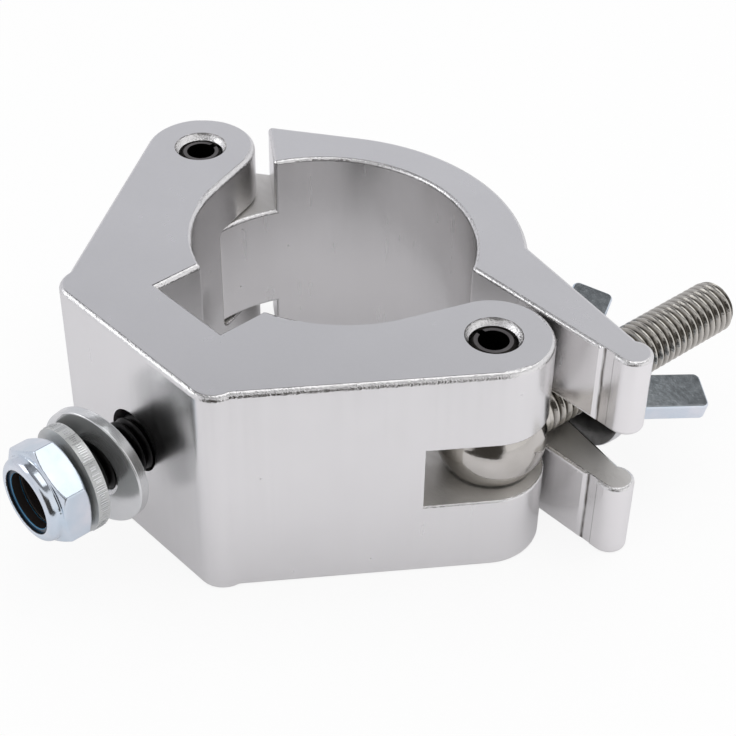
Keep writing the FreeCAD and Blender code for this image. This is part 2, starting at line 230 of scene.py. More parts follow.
def finish(name, colours, tone, roughness, relief, depth, metallic=1.0, painted_shade=None):
    """A material between two colours, with roughness and relief that vary over the surface.

    tone, roughness, relief and the painted shade are functions of the graph, and depth is the relief's in metres.
    """
    material = bpy.data.materials.new(name)
    material.use_nodes = True
    graph = Graph(material.node_tree)
    shader = material.node_tree.nodes["Principled BSDF"]
    shader.inputs["Metallic"].default_value = metallic
    first, second = [(*colour, 1) for colour in colours]
    colour = graph.blend(graph.clamp(tone(graph)), first, second)
    # Painted shade darkens the colour wherever its rule gives 1.
    if painted_shade:
        colour = graph.blend(graph.clamp(painted_shade(graph)), colour, PAINTED_SHADE)
    bump = graph.node("ShaderNodeBump", {}, {"Height": relief(graph), "Distance": depth, "Strength": 1.0})
    graph.feed(shader.inputs["Base Color"], colour)
    graph.feed(shader.inputs["Roughness"], graph.clamp(roughness(graph)))
    graph.feed(shader.inputs["Normal"], bump)
    print("finish", name, "has", len(material.node_tree.nodes), "nodes")
    return material


print("dirt is", PAINTED_SHADE[:3])

# %% [markdown]
# ## Aluminium
# The extrusions are bright anodised. Their long faces carry faint die lines along the tube axis,
# the sawn ends are satin, the tumbled edges sparkle, and the milled slots are warmer and more uneven.
# All of them are lines, grain and a few pits in different amounts, so they share one recipe.

# %% Aluminium recipe
ALONG_TUBE = (1, 1, 60)
PIT_SPACING = 2.6 * MM
PIT_WIDTH = 0.07


def aluminium(name, colours, gloss, uneven, depth, grain, stretch=ALONG_TUBE, pitted=0.04, painted_shade=None):
    """Bright metal with lines along the stretched axis, grain of this size and pits in this share of places.

    gloss is the mean roughness, uneven is how far it varies, and depth is the height of the relief.
    """
    def tone(graph):
        return noise(graph, 14 * MM) * 0.7 + noise(graph, 0.8 * MM, stretch) * 0.3

    def roughness(graph):
        lines = noise(graph, 1.1 * MM, stretch) - 0.5
        clouds = noise(graph, 9 * MM) - 0.5
        return gloss + uneven * (lines + clouds) + 0.3 * pits(graph, PIT_SPACING, pitted, PIT_WIDTH)

    def relief(graph):
        lines = noise(graph, 0.9 * MM, stretch, 4.0)
        grains = noise(graph, grain, EVEN, 3.0)
        return lines * 0.35 + grains * 0.65 - 0.8 * pits(graph, PIT_SPACING, pitted, PIT_WIDTH)

    return finish(name, colours, tone, roughness, relief, depth, painted_shade=painted_shade)


print("die lines are", ALONG_TUBE[2], "times as long as wide")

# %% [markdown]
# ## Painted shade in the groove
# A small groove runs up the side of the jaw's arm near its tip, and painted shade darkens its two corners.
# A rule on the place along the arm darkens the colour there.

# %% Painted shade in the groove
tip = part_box("jaw")[1].x
groove = (tip - 8 * MM, tip - 4.3 * MM)
groove_foot = tip - 6.65 * MM
groove_step = tip - 4.55 * MM
FOOT_WIDTH = 0.4 * MM
STEP_WIDTH = 0.14 * MM
STEP_SHARE = 0.7
SIDE_DEPTH = 2 * MM
jaw_points = [v.co for v in frame["nodes"]["jaw"].data.vertices]
arm_side = min(point.y for point in jaw_points if groove[0] < point.x < groove[1])


def groove_painted_shade(graph):
    """1 along the two corners of the groove, where shade is painted, and 0 elsewhere."""
    place = graph.node("ShaderNodeTexCoord", output="Object")
    x = graph.node("ShaderNodeSeparateXYZ", {}, {0: place}, "X")
    patchy = noise(graph, 0.5 * MM, (1, 1, 5)) * 2
    # Both lines are painted shade in the corners of the groove.
    foot = (1 - graph.math("ABSOLUTE", x - groove_foot) / FOOT_WIDTH) * patchy
    step = 1.2 - graph.math("ABSOLUTE", x - groove_step) / STEP_WIDTH
    lines = graph.math("MAXIMUM", graph.clamp(foot), graph.clamp(step) * STEP_SHARE)
    return lines * (x.out("Y") < arm_side + SIDE_DEPTH)


print("groove runs from x =", [round(x / MM, 2) for x in groove], "mm at y =", round(arm_side / MM, 2), "mm")

# %% [markdown]
# ## Aluminium finishes
# The jaw is a separate extrusion, a little brighter than the body, and it alone has painted shade in its groove.

# %% Aluminium finishes
drawn = aluminium("drawn_aluminium", [(0.74, 0.735, 0.735), (0.81, 0.805, 0.805)],
                  gloss=0.24, uneven=0.10, depth=3e-6, grain=0.5 * MM, pitted=0.08)
# The jaw's finish has painted shade in the corners of its groove.
drawn_jaw = aluminium("drawn_jaw_aluminium", [(0.81, 0.80, 0.80), (0.89, 0.88, 0.88)],
                      gloss=0.24, uneven=0.12, depth=4e-6, grain=0.5 * MM, pitted=0.08, painted_shade=groove_painted_shade)
sawn = aluminium("sawn_end_aluminium", [(0.68, 0.68, 0.69), (0.74, 0.74, 0.75)],
                 gloss=0.30, uneven=0.08, depth=1.5e-6, grain=0.35 * MM, stretch=EVEN)
tumbled = aluminium("tumbled_edge_aluminium", [(0.72, 0.715, 0.715), (0.84, 0.835, 0.83)],
                    gloss=0.17, uneven=0.16, depth=150e-6, grain=0.34 * MM, stretch=EVEN)
milled = aluminium("milled_aluminium", [(0.72, 0.705, 0.68), (0.86, 0.845, 0.82)],
                   gloss=0.52, uneven=0.22, depth=70e-6, grain=0.7 * MM, stretch=(3, 1, 3))

# %% [markdown]
# ## Steel
# The swing bolt is nickel plated and almost a mirror. The nuts and washers are zinc,
# bright blue on the lock nut and dull elsewhere, with painted dark reflection and painted shade on the wing nut
# and its washer.
# The mounting bolt is black oxide, and the roll pins are dark oiled spring steel.
# Plating has clouds of colour and a soft relief, and no lines, so it has a recipe of its own.

# %% Steel finishes


def plated(name, colours, gloss, uneven, depth, grain, clouds=5 * MM, metallic=1.0, tone=None):
    """A coated surface with clouds of colour, and relief of this depth and grain."""
    def cloudy(graph):
        return noise(graph, clouds, EVEN, 3.0) * 1.6 - 0.3

    def roughness(graph):
        return gloss + uneven * (noise(graph, 2.2 * MM, EVEN, 4.0) - 0.5)

    def relief(graph):
        return noise(graph, grain, EVEN, 3.0)

    return finish(name, colours, tone or cloudy, roughness, relief, depth, metallic)


nickel = plated("nickel_plate", [(0.47, 0.45, 0.42), (0.61, 0.59, 0.56)],
                gloss=0.13, uneven=0.12, depth=12e-6, grain=0.6 * MM)
zinc = plated("blue_zinc", [(0.56, 0.68, 0.78), (0.80, 0.81, 0.86)],
              gloss=0.16, uneven=0.12, depth=60e-6, grain=3.2 * MM)
# Painted dark reflection: the broad faces of the wings mirror dark things, so this zinc is painted dark.
cast_zinc_painted_dark = plated("grained_zinc_painted_dark", [(0.16, 0.176, 0.186), (0.36, 0.388, 0.406)],
                   gloss=0.20, uneven=0.14, depth=16e-6, grain=0.45 * MM, clouds=1.2 * MM)
# Painted shade: the face of the washer under the wing nut lies in shade, so this zinc is painted dark.
zinc_painted_shade = plated("zinc_painted_shade", [(0.09, 0.09, 0.088), (0.24, 0.24, 0.23)],
                   gloss=0.20, uneven=0.14, depth=12e-6, grain=0.6 * MM, clouds=2 * MM)
washer_zinc = plated("bright_zinc", [(0.66, 0.68, 0.69), (0.80, 0.80, 0.80)],
                     gloss=0.20, uneven=0.16, depth=16e-6, grain=0.7 * MM, metallic=0.85)
wire_zinc = plated("dull_zinc", [(0.46, 0.47, 0.47), (0.66, 0.67, 0.66)],
                   gloss=0.34, uneven=0.16, depth=30e-6, grain=0.35 * MM, metallic=0.6)
black_oxide = plated("black_oxide", [(0.012, 0.012, 0.013), (0.03, 0.029, 0.028)],
                     gloss=0.34, uneven=0.2, depth=10e-6, grain=0.8 * MM)
pin_steel = plated("oiled_spring_steel", [(0.012, 0.011, 0.01), (0.04, 0.037, 0.034)],
                   gloss=0.35, uneven=0.2, depth=14e-6, grain=0.6 * MM)
pin_end_steel = plated("cut_spring_steel", [(0.09, 0.085, 0.085), (0.19, 0.18, 0.18)],
                       gloss=0.30, uneven=0.2, depth=14e-6, grain=0.6 * MM)

# %% [markdown]
# ## Nylon and painted shade
# The ring that locks the nut is dark blue nylon, with a painted highlight at the edge of its bore.
# The bore behind it is painted near black as painted shade. Neither is a metal, so their colour is a plain one
# under a clear gloss.

# %% Nylon finishes, painted highlight and painted shade
nylon = plated("blue_nylon", [(0.006, 0.018, 0.035), (0.012, 0.045, 0.085)],
               gloss=0.30, uneven=0.1, depth=10e-6, grain=0.8 * MM, metallic=0.0)
# Painted highlight: a lighter blue along the edge of the ring's bore.
nylon_painted_highlight = plated("painted_highlight_nylon", [(0.03, 0.14, 0.27), (0.07, 0.26, 0.44)],
                    gloss=0.25, uneven=0.1, depth=6e-6, grain=0.8 * MM, metallic=0.0)
# Painted shade: the bores of the nut and its ring are painted near black.
bore_painted_shade = plated("bore_painted_shade", [(0.010, 0.007, 0.006), (0.024, 0.017, 0.015)],
                   gloss=0.45, uneven=0.1, depth=6e-6, grain=0.8 * MM, metallic=0.0)

# %% [markdown]
# ## Clean copies of the solids
# A CAD mesh is loose triangles, so a glossy finish would show every facet.
# A copy is welded, and triangles that lie in one plane are joined into one large face.
# Normals weighted by area then stay flat on the large faces and turn smoothly over the small rounds.

# %% Welding
WELD = 2e-6
FLAT = math.radians(0.15)


def welded(node, keep=None):
    """A bmesh of a CAD node with joined triangles, without the faces that keep refuses."""
    source = frame["nodes"][node].data
    plain = bpy.data.meshes.new("plain")
    plain.from_pydata([v.co for v in source.vertices], [], [p.vertices[:] for p in source.polygons])
    shape = bmesh.new()
    shape.from_mesh(plain)
    bpy.data.meshes.remove(plain)
    bmesh.ops.remove_doubles(shape, verts=shape.verts, dist=WELD)
    if keep:
        refused = [face for face in shape.faces if not keep(face.calc_center_median())]
        bmesh.ops.delete(shape, geom=refused, context="FACES")
        rims = [edge for edge in shape.edges if edge.is_boundary]
        bmesh.ops.holes_fill(shape, edges=rims, sides=0)
    bmesh.ops.dissolve_limit(shape, angle_limit=FLAT, verts=shape.verts, edges=shape.edges)
    return shape


print("points closer than", WELD / MM, "mm are welded")

# %% [markdown]
# ## From a shape to a piece
# A piece gets its finishes face by face, and its edges are sharp only where it turns steeply.
# What its modifiers make is then turned into a plain mesh, because a finished piece carries no modifier.
# The piece stands for its CAD node and rides on the same body.

# %% Pieces
SHARP = 35
AREA_WEIGHT = 100


def settle(obj):
    """Turns what an object's modifiers make into its own plain mesh."""
    graph = bpy.context.evaluated_depsgraph_get()
    shown = obj.evaluated_get(graph)
    mesh = bpy.data.meshes.new_from_object(shown, preserve_all_data_layers=True, depsgraph=graph)
    obj.modifiers.clear()
    obj.data = mesh
    return obj


def piece(name, shape, finishes, zone=None, crisp=None, sharp=SHARP):
    """An object from a bmesh, smooth except where it turns by more than sharp degrees or crisp says so."""
    for face in shape.faces:
        face.smooth = True
        face.material_index = zone(face) if zone else 0
    for edge in shape.edges:
        edge.smooth = len(edge.link_faces) == 2 and edge.calc_face_angle() < math.radians(sharp)
        if crisp and crisp(edge):
            edge.smooth = False
    mesh = bpy.data.meshes.new(name)
    shape.to_mesh(mesh)
    shape.free()
    for each in finishes:
        mesh.materials.append(each)
    obj = bpy.data.objects.new(name, mesh)
    bpy.context.scene.collection.objects.link(obj)
    weighted = obj.modifiers.new("weighted", "WEIGHTED_NORMAL")
    weighted.keep_sharp = True
    weighted.weight = AREA_WEIGHT
    return settle(obj)


def stands_for(obj, node):
    """The piece is shown in place of a CAD node and moves with that node's body."""
    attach(obj, body_of[node])
    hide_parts(node)
    print(obj.name, "stands for", node, "with", len(obj.data.polygons), "faces")
    return obj


print("edges are sharp from", SHARP, "degrees")

# %% [markdown]
# ## Which face has which finish
# A face of an extrusion tells by itself how it was made: long walls stand upright and run the full width,
# sawn ends lie level at the top or bottom, anything that leans is a tumbled edge or a countersink,
# and what lies inside the width was milled later. Faces could be painted by hand,
# but a short rule also holds when the CAD model changes.

# %% Finish zones
DRAWN, SAWN, TUMBLED, MILLED = range(4)
half_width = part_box("base_body")[1].z
inside_width = half_width - 2 * MM
LEANING = (0.04, 0.98)
LEVEL = 0.5
BOLT_HOLE = 6 * MM
FORK = 6.2 * MM
FORK_END = 0.2


def leans(face):
    """True for a face that is neither upright nor level."""
    return LEANING[0] < abs(face.normal.z) < LEANING[1]


def reach_of(face):
    """How far a face reaches from the middle of the width."""
    return max(abs(vert.co.z) for vert in face.verts)


def base_zone(face):
    """The finish of a face of the base body."""
    middle = face.calc_center_median()
    drilled = math.hypot(middle.x, middle.z) < BOLT_HOLE
    if reach_of(face) < inside_width and (drilled or not leans(face)):
        return MILLED
    if leans(face):
        return TUMBLED
    return SAWN if abs(face.normal.z) > LEVEL else DRAWN


def jaw_zone(face):
    """The finish of a face of the jaw."""
    if leans(face):
        return TUMBLED
    level = abs(face.normal.z) > LEVEL
    fork_end = reach_of(face) < FORK and face.normal.x > FORK_END
    if fork_end or (level and reach_of(face) < inside_width):
        return MILLED
    return SAWN if level else DRAWN


print("milled faces lie within", round(inside_width / MM, 1), "mm of the middle")

# %% [markdown]
# ## Bevels at the pin holes
# Each roll pin sits in a hole with a bright bevel. On the real clamp the bevel is narrow.
# The points of its outer rim are drawn in, which keeps every face and needs no new cut.

# %% Pin hole bevels
BEVEL_SEARCH = 6 * MM
BEVEL_RIM = 4.75 * MM
END_SKIN = 0.05 * MM
pins = [Vector(joints[name]["pos_m"]) for name in ("jaw_hinge", "swing_bolt_hinge")]


def from_pin(vert, pin):
    """The way from a pin's axis out to a point."""
    return Vector((vert.co.x - pin.x, vert.co.y - pin.y, 0))


def narrow_pin_bevels(shape):
    """Draws the outer rim of each pin hole's bevel in."""
    for pin in pins:
        for vert in shape.verts:
            out = from_pin(vert, pin)
            if abs(vert.co.z) > half_width - END_SKIN and out.length < BEVEL_SEARCH:
                vert.co += out.normalized() * (BEVEL_RIM - out.length)
    return shape


print("bevels end", BEVEL_RIM / MM, "mm from the pin axes")

# %% [markdown]
# ## Beads at the corners of the nose
# The upright corners of the nose are full round beads that stand a little proud of the flanks.
# The CAD solid has a smaller plain round there. Its points keep their order
# and are spread over the larger arc, from the face of the nose to where that arc meets the flank.

# %% Nose beads
NOSE_ROUND = 2.1 * MM
CAD_ROUND = 0.7 * MM
BEAD_ROUND = 4.6 * MM
BEAD_START = 1.6 * MM
SKIN = 0.001 * MM
NEAR = 0.01 * MM
NEAR_TURN = 0.01
FRONT_RIGHT = (0.5, -0.3)


def flank_turn(shape):
    """The angle between the face of the nose and the flank to its right."""
    flanks = [face for face in shape.faces
              if face.normal.x > FRONT_RIGHT[0] and face.normal.y < FRONT_RIGHT[1]]
    flank = max(flanks, key=lambda face: face.calc_area()).normal
    return math.atan2(flank.x, -flank.y)


def nose_beads(shape):
    """Turns the small round at each corner of the nose into a fuller bead."""
    turn = flank_turn(shape)
    nose = min(vert.co.y for vert in shape.verts)
    start = max(vert.co.x for vert in shape.verts if vert.co.y < nose + SKIN)
    corner = start + NOSE_ROUND * math.tan(turn / 2)
    small = Vector((start, nose + NOSE_ROUND))
    full = Vector((corner - BEAD_START, nose + BEAD_ROUND))
    behind_flank = (corner - full.x) * math.sin(turn) + (full.y - nose) * math.cos(turn)
    for vert in shape.verts:
        out = Vector((abs(vert.co.x), vert.co.y)) - small
        inset = NOSE_ROUND - out.length
        angle = math.atan2(out.x, -out.y)
        if -NEAR < inset < CAD_ROUND + NEAR and -NEAR_TURN < angle < turn + NEAR_TURN:
            radius = BEAD_ROUND - inset
            angle *= 1 + math.acos((behind_flank - inset) / radius) / turn
            vert.co.x = math.copysign(full.x + radius * math.sin(angle), vert.co.x)
            vert.co.y = full.y - radius * math.cos(angle)
    shape.normal_update()
    print("nose beads stand", round((BEAD_ROUND - behind_flank) / MM, 2), "mm proud of the flanks")
    return shape


# %% [markdown]
# ## Fuller rims
# Tumbling has rounded the rims of both sawn ends, a little more than the CAD solid has it.
# A Bevel modifier can't widen a round that is already there, so the points of the round are moved:
# each goes further in from the wall and further down from the end by the same share.

# %% Fuller rims
FULL_ROUND = 1.05 * MM
SHARPEST = 0.3


def rim_move(vert, walls, before, after):
    """How a point of the round moves when its radius grows, between walls that face these ways."""
    first, second = min(((a, b) for a in walls for b in walls), key=lambda pair: pair[0].dot(pair[1]))
    inward = (first + second) / max(1 + first.dot(second), SHARPEST)
    depth = half_width - abs(vert.co.z)
    sunk = min(max(1 - depth / before, 0), 1)
    inset = before * (1 - math.sqrt(1 - sunk * sunk))
    grow = after / before - 1
    return -inward * inset * grow - Vector((0, 0, math.copysign(depth * grow, vert.co.z)))


def fuller_rounds(shape, before, after):
    """Widens the round along the rims of both ends from one radius to another."""
    moves = {}
    for vert in shape.verts:
        walls = [Vector((face.normal.x, face.normal.y, 0)).normalized()
                 for face in vert.link_faces if leans(face)]
        near_pin = any(from_pin(vert, pin).length < BEVEL_SEARCH for pin in pins)
        if walls and not near_pin and half_width - abs(vert.co.z) <= before + NEAR:
            moves[vert] = rim_move(vert, walls, before, after)
    for vert, move in moves.items():
        vert.co += move
    print("rims are widened at", len(moves), "points")
    return shape


# %% [markdown]
# ## Base body and jaw
# Both are sawn from an extrusion, so both take the same four finishes, apart from the jaw's own drawn walls.
# The upright edges of the small groove in the jaw's arm stay crisp, as the die made them.

# %% Base body and jaw
UPRIGHT = 0.01 * MM


def groove_line(edge):
    """True for the upright edges of the small groove near the tip of the jaw's arm."""
    first, second = [v.co for v in edge.verts]
    upright = math.hypot(first.x - second.x, first.y - second.y) < UPRIGHT
    return upright and groove[0] < first.x < groove[1]


base_shape = nose_beads(narrow_pin_bevels(welded("base_body")))
base_shape = fuller_rounds(base_shape, CAD_ROUND, FULL_ROUND)
stands_for(piece("base_body_finish", base_shape, [drawn, sawn, tumbled, milled], base_zone), "base_body")
jaw_finishes = [drawn_jaw, sawn, tumbled, milled]
stands_for(piece("jaw_finish", welded("jaw"), jaw_finishes, jaw_zone, groove_line), "jaw")

# %% [markdown]
# ## Roll pins
# A roll pin is a slit tube of spring steel. Oil keeps its bore black, and only its cut ends show bare metal.

# %% Roll pins
CUT_END = 0.95


def pin_zone(face):
    """1 on the cut ends of a roll pin and 0 elsewhere."""
    return 1 if abs(face.normal.z) > CUT_END else 0


for node in ("hinge_pin", "swing_bolt_pin"):
    stands_for(piece(node + "_finish", welded(node), [pin_steel, pin_end_steel], pin_zone), node)

# %% [markdown]
# ## Wing nut and washers
# The broad faces of the wings are grained, and a painted dark reflection darkens them, while their edges and the
# hub are bright.
# The washer under the nut is like that too: painted shade darkens its face, and its rim is bright.
# The largest face gives the broad direction, so no angle is written down.

# %% Wing nut and washers
BROAD = 0.9
SIDEWAYS = 0.5
swing_axis = Vector(joints["wing_nut_turn"]["axis"]).normalized()


def broad_zone(faces):
    """A rule that gives 0 on faces that lie along the largest of these, and 1 on the others."""
    largest = max(faces, key=lambda face: face.calc_area()).normal.copy()
    return lambda face: 0 if abs(face.normal.dot(largest)) > BROAD else 1


wings = welded("wing_nut")
wing_sides = [face for face in wings.faces if abs(face.normal.dot(swing_axis)) < SIDEWAYS]
stands_for(piece("wing_nut_finish", wings, [cast_zinc_painted_dark, zinc], broad_zone(wing_sides)), "wing_nut")
washer = welded("wing_nut_washer")
washer_finish = piece("wing_nut_washer_finish", washer, [zinc_painted_shade, washer_zinc], broad_zone(washer.faces))
stands_for(washer_finish, "wing_nut_washer")
for node, coat in {"flat_washer": washer_zinc, "spring_washer": wire_zinc}.items():
    stands_for(piece(node + "_finish", welded(node), [coat]), node)

# %% [markdown]
# ## Lock nut
# A forged and plated nut has no sharp edge anywhere. Bevels jam on the short chords of its chamfer,
# so the nut is rebuilt from small cells and smoothed, which rounds every edge alike.

# %% Lock nut
NUT_CELL = 0.16 * MM
NUT_PASSES = 14
NUT_BORE = 5.7 * MM
nut_axis = Vector(joints["lock_nut_turn"]["pos_m"])


def rounded_over(obj, cell, passes):
    """Rebuilds an object from small cells and smooths it."""
    rebuilt = obj.modifiers.new("cells", "REMESH")
    rebuilt.mode = "VOXEL"
    rebuilt.voxel_size = cell
    rebuilt.use_smooth_shade = True
    soft = obj.modifiers.new("soft", "SMOOTH")
    soft.factor = 0.5
    soft.iterations = passes
    return settle(obj)


nut = rounded_over(piece("lock_nut_finish", welded("lock_nut"), [zinc, bore_painted_shade]), NUT_CELL, NUT_PASSES)
# The faces of the nut's bore get painted shade, near black.
for face in nut.data.polygons:
    middle = face.center - nut_axis
    face.material_index = 1 if math.hypot(middle.x, middle.z) < NUT_BORE else 0
stands_for(nut, "lock_nut")

# %% [markdown]
# ## Locking ring
# The nylon ring shows as a dark blue band, with a painted highlight as a lighter line at the edge of its bore.
# Here the edges are few and long, so a plain bevel eases them.

# %% Locking ring
RING_EASE = 0.2 * MM
RING_STEEP = math.radians(60)
FACE_ON = 0.95
EDGE_ON = 0.1


def eased(shape, width, steep):
    """The bmesh with edges that turn by more than the steep angle rounded off."""
    edges = [edge for edge in shape.edges if len(edge.link_faces) == 2 and edge.calc_face_angle() > steep]
    bmesh.ops.bevel(shape, geom=edges, offset=width, segments=3, profile=0.5, affect="EDGES",
                    clamp_overlap=True)
    return shape


def ring_zone(face):
    """0 blue face of the ring, 1 painted highlight on the edge of its bore, 2 painted shade in the bore."""
    middle = face.calc_center_median() - nut_axis
    inwards = face.normal.x * middle.x + face.normal.z * middle.z < 0
    if abs(face.normal.y) > FACE_ON or not inwards:
        return 0
    return 2 if abs(face.normal.y) < EDGE_ON else 1


ring = eased(welded("lock_nut_insert"), RING_EASE, RING_STEEP)
stands_for(piece("lock_nut_ring", ring, [nylon, nylon_painted_highlight, bore_painted_shade], ring_zone), "lock_nut_insert")

# %% [markdown]
# ## Geometry trees
# Two things on the clamp repeat by a rule: the threads, and the marks on the spring washer.
# Both come from Geometry Nodes, with their sizes as named inputs, so one tree can serve several pieces.
# These helpers start a tree, end it with real geometry and a finish, and turn its result into a mesh.

# %% Tree helpers


def new_tree(name, sizes, counts):
    """A geometry tree with these named inputs, a finish and one output."""
    tree = bpy.data.node_groups.new(name, "GeometryNodeTree")
    inputs = [(each, "NodeSocketFloat") for each in sizes] + [(each, "NodeSocketInt") for each in counts]
    for each, kind in inputs + [("Finish", "NodeSocketMaterial")]:
        tree.interface.new_socket(each, in_out="INPUT", socket_type=kind)
    tree.interface.new_socket("Geometry", in_out="OUTPUT", socket_type="NodeSocketGeometry")
    return tree


def end_tree(graph, geometry, coat):
    """Ends a tree with geometry that is real and has its finish."""
    real = graph.node("GeometryNodeRealizeInstances", {}, {"Geometry": geometry})
    done = graph.node("GeometryNodeSetMaterial", {}, {"Geometry": real, "Material": coat})
    graph.node("NodeGroupOutput", {}, {"Geometry": done})
    print("tree", graph.tree.name, "has", len(graph.tree.nodes), "nodes")
    return graph.tree


def grown(name, tree, values):
    """A mesh made by a geometry tree with these named inputs."""
    obj = bpy.data.objects.new(name, bpy.data.meshes.new(name))
    bpy.context.scene.collection.objects.link(obj)
    modifier = obj.modifiers.new(name, "NODES")
    modifier.node_group = tree
    for socket in tree.interface.items_tree:
        if socket.in_out == "INPUT" and socket.name in values:
            modifier[socket.identifier] = values[socket.name]
    return settle(obj)


# %% [markdown]
# ## Rolled threads
# Both bolts are M10 with a pitch of 1.5 mm. A thread could be a screwed profile or a picture of ribs,
# but a picture has no outline and a screw modifier no plain start.
# Here a grid is rolled up into a shank, and each row of the grid climbs one pitch in one turn.
# A row then always lies at the same depth of the groove, so crests and roots are clean lines.
# Rolling leaves round crests and sharp roots. The shank starts plain, and its far end is rounded off.

# %% Thread tree
AROUND = 64
ROWS_PER_PITCH = 16
THREAD_DEPTH = 0.56
CREST_ROUNDING = 1.6
RUN_OUT = 1.2
TURN = 2 * math.pi


def thread_radius(graph, height, climbed, given):
    """The radius of the shank at a height, where climbed counts pitches and given holds the tree's sizes."""
    length, plain, crest, pitch, round_off = given
    from_root = graph.math("ABSOLUTE", graph.math("FRACT", climbed) - 0.5) * 2
    groove_share = graph.math("POWER", 1 - from_root, CREST_ROUNDING)
    run_out = graph.clamp((height - plain) / (pitch * RUN_OUT))
    radius = crest - THREAD_DEPTH * pitch * groove_share * run_out
    into_round = round_off - graph.math("MINIMUM", length - height, round_off)
    bulge = graph.math("SQRT", round_off * round_off - into_round * into_round)
    return graph.math("MINIMUM", radius, crest - round_off + bulge)


def thread_tree():
    """A tree that makes a shank with a rolled thread, closed at both ends."""
    sizes = ("Length", "Plain Length", "Crest Radius", "Pitch", "End Round")
    graph = Graph(new_tree("rolled_thread", sizes, ("Rows",)))
    inputs = graph.node("NodeGroupInput")
    given = [inputs.out(name) for name in sizes]
    length, plain, crest, pitch, round_off = given
    rows = inputs.out("Rows")
    grid = graph.node("GeometryNodeMeshGrid", {}, {
        "Size X": 1.0, "Size Y": 1.0, "Vertices X": AROUND + 1, "Vertices Y": rows}, "Mesh")
    x = graph.node("ShaderNodeSeparateXYZ", {}, {0: graph.node("GeometryNodeInputPosition")}, "X")
    around = x + 0.5
    climbed = graph.math("ROUND", (x.out("Y") + 0.5) * (rows - 1)) / ROWS_PER_PITCH
    height = graph.math("MINIMUM", graph.math("MAXIMUM", (climbed + around - 1) * pitch, 0), length)
    radius = thread_radius(graph, height, climbed, given)
    angle = around * TURN
    place = graph.node("ShaderNodeCombineXYZ", {}, {
        "X": radius * graph.math("COSINE", angle), "Y": radius * graph.math("SINE", angle), "Z": height})
    joined = graph.node("GeometryNodeJoinGeometry")
    shank = graph.node("GeometryNodeSetPosition", {}, {"Geometry": grid, "Position": place})
    graph.feed(joined.socket.node.inputs[0], shank)
    for end_radius, end_height in ((crest - round_off, length), (crest, 0.0)):
        disc = graph.node("GeometryNodeMeshCircle", {"fill_type": "NGON"}, {
            "Vertices": AROUND, "Radius": end_radius})
        lift = graph.node("ShaderNodeCombineXYZ", {}, {"Z": end_height})
        disc = graph.node("GeometryNodeTransform", {}, {"Geometry": disc, "Translation": lift})
        graph.feed(joined.socket.node.inputs[0], disc)
    closed = graph.node("GeometryNodeMergeByDistance", {}, {"Geometry": joined, "Distance": WELD})
    return end_tree(graph, closed, inputs.out("Finish"))


rolled_thread = thread_tree()

# %% [markdown]
# ## Threaded rods
# A rod is grown upright at the origin and then laid along its bolt. Its ends are discs,
# so its faces are turned outwards together, and only the rims of the discs are sharp.

# %% Threaded rods
PITCH = 1.5 * MM
CREST = 4.87 * MM
END_ROUND = 1.3 * MM
RIM_SHARP = math.radians(50)


def threaded_rod(name, foot, axis, length, plain, coat):
    """A threaded shank from foot along axis."""
    rows = math.ceil(length / PITCH + 1) * ROWS_PER_PITCH + 1
    obj = grown(name, rolled_thread, {
        "Length": length, "Plain Length": plain, "Crest Radius": CREST, "Pitch": PITCH,
        "End Round": END_ROUND, "Rows": rows, "Finish": coat})
    turn = axis.to_track_quat("Z", "Y").to_matrix().to_4x4()
    obj.data.transform(Matrix.Translation(foot) @ turn)
    shape = bmesh.new()
    shape.from_mesh(obj.data)
    bmesh.ops.recalc_face_normals(shape, faces=shape.faces)
    shape.to_mesh(obj.data)
    shape.free()
    obj.data.polygons.foreach_set("use_smooth", [True] * len(obj.data.polygons))
    obj.data.set_sharp_from_angle(angle=RIM_SHARP)
    print(name, "has", len(obj.data.polygons), "faces")
    return obj


# %% [markdown]
# ## Swing bolt
# The bolt keeps its CAD eye. The plain CAD shank is cut off the copy, the hole is closed,
# and a threaded rod takes its place. The colour follows the distance from the bolt's axis:
# painted shade darkens the roots of the thread, and the crests stay light.

# %% Swing bolt
NECK = 12 * MM
EYE_ROOT = 7 * MM
SWING_PLAIN = 3 * MM
eye_centre = Vector(joints["swing_bolt_hinge"]["pos_m"])
bolt_end = max((v.co - eye_centre).dot(swing_axis) for v in frame["nodes"]["swing_bolt"].data.vertices)


def eye_only(place):
    """True on the eye and the neck of the swing bolt."""
    return (place - eye_centre).dot(swing_axis) < NECK


def height_in_thread(graph):
    """0 in the roots of the swing bolt's thread and 1 on its crests."""
    place = graph.node("ShaderNodeTexCoord", output="Object")
    out = graph.vector("CROSS_PRODUCT", graph.vector("SUBTRACT", place, eye_centre), swing_axis)
    radius = graph.vector("LENGTH", out, output="Value")
    return (radius - (CREST - THREAD_DEPTH * PITCH)) / (THREAD_DEPTH * PITCH)


# The thread's colour is painted shade: near black in the roots and light nickel on the crests.
nickel_thread_painted_shade = plated("nickel_thread_painted_shade", [(0.08, 0.072, 0.06), (0.60, 0.58, 0.535)],
                       gloss=0.18, uneven=0.14, depth=34e-6, grain=0.35 * MM, tone=height_in_thread)
stands_for(piece("swing_bolt_eye", welded("swing_bolt", eye_only), [nickel]), "swing_bolt")
swing_thread = threaded_rod("swing_bolt_thread", eye_centre + swing_axis * EYE_ROOT, swing_axis,
                            bolt_end - EYE_ROOT, SWING_PLAIN, nickel_thread_painted_shade)
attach(swing_thread, "swing_bolt")

# %% [markdown]
# ## Mounting bolt
# Its hexagon head is held in the groove of the body. The head keeps its CAD shape,
# with edges that are sharp from a smaller angle so that the hexagon stays crisp.

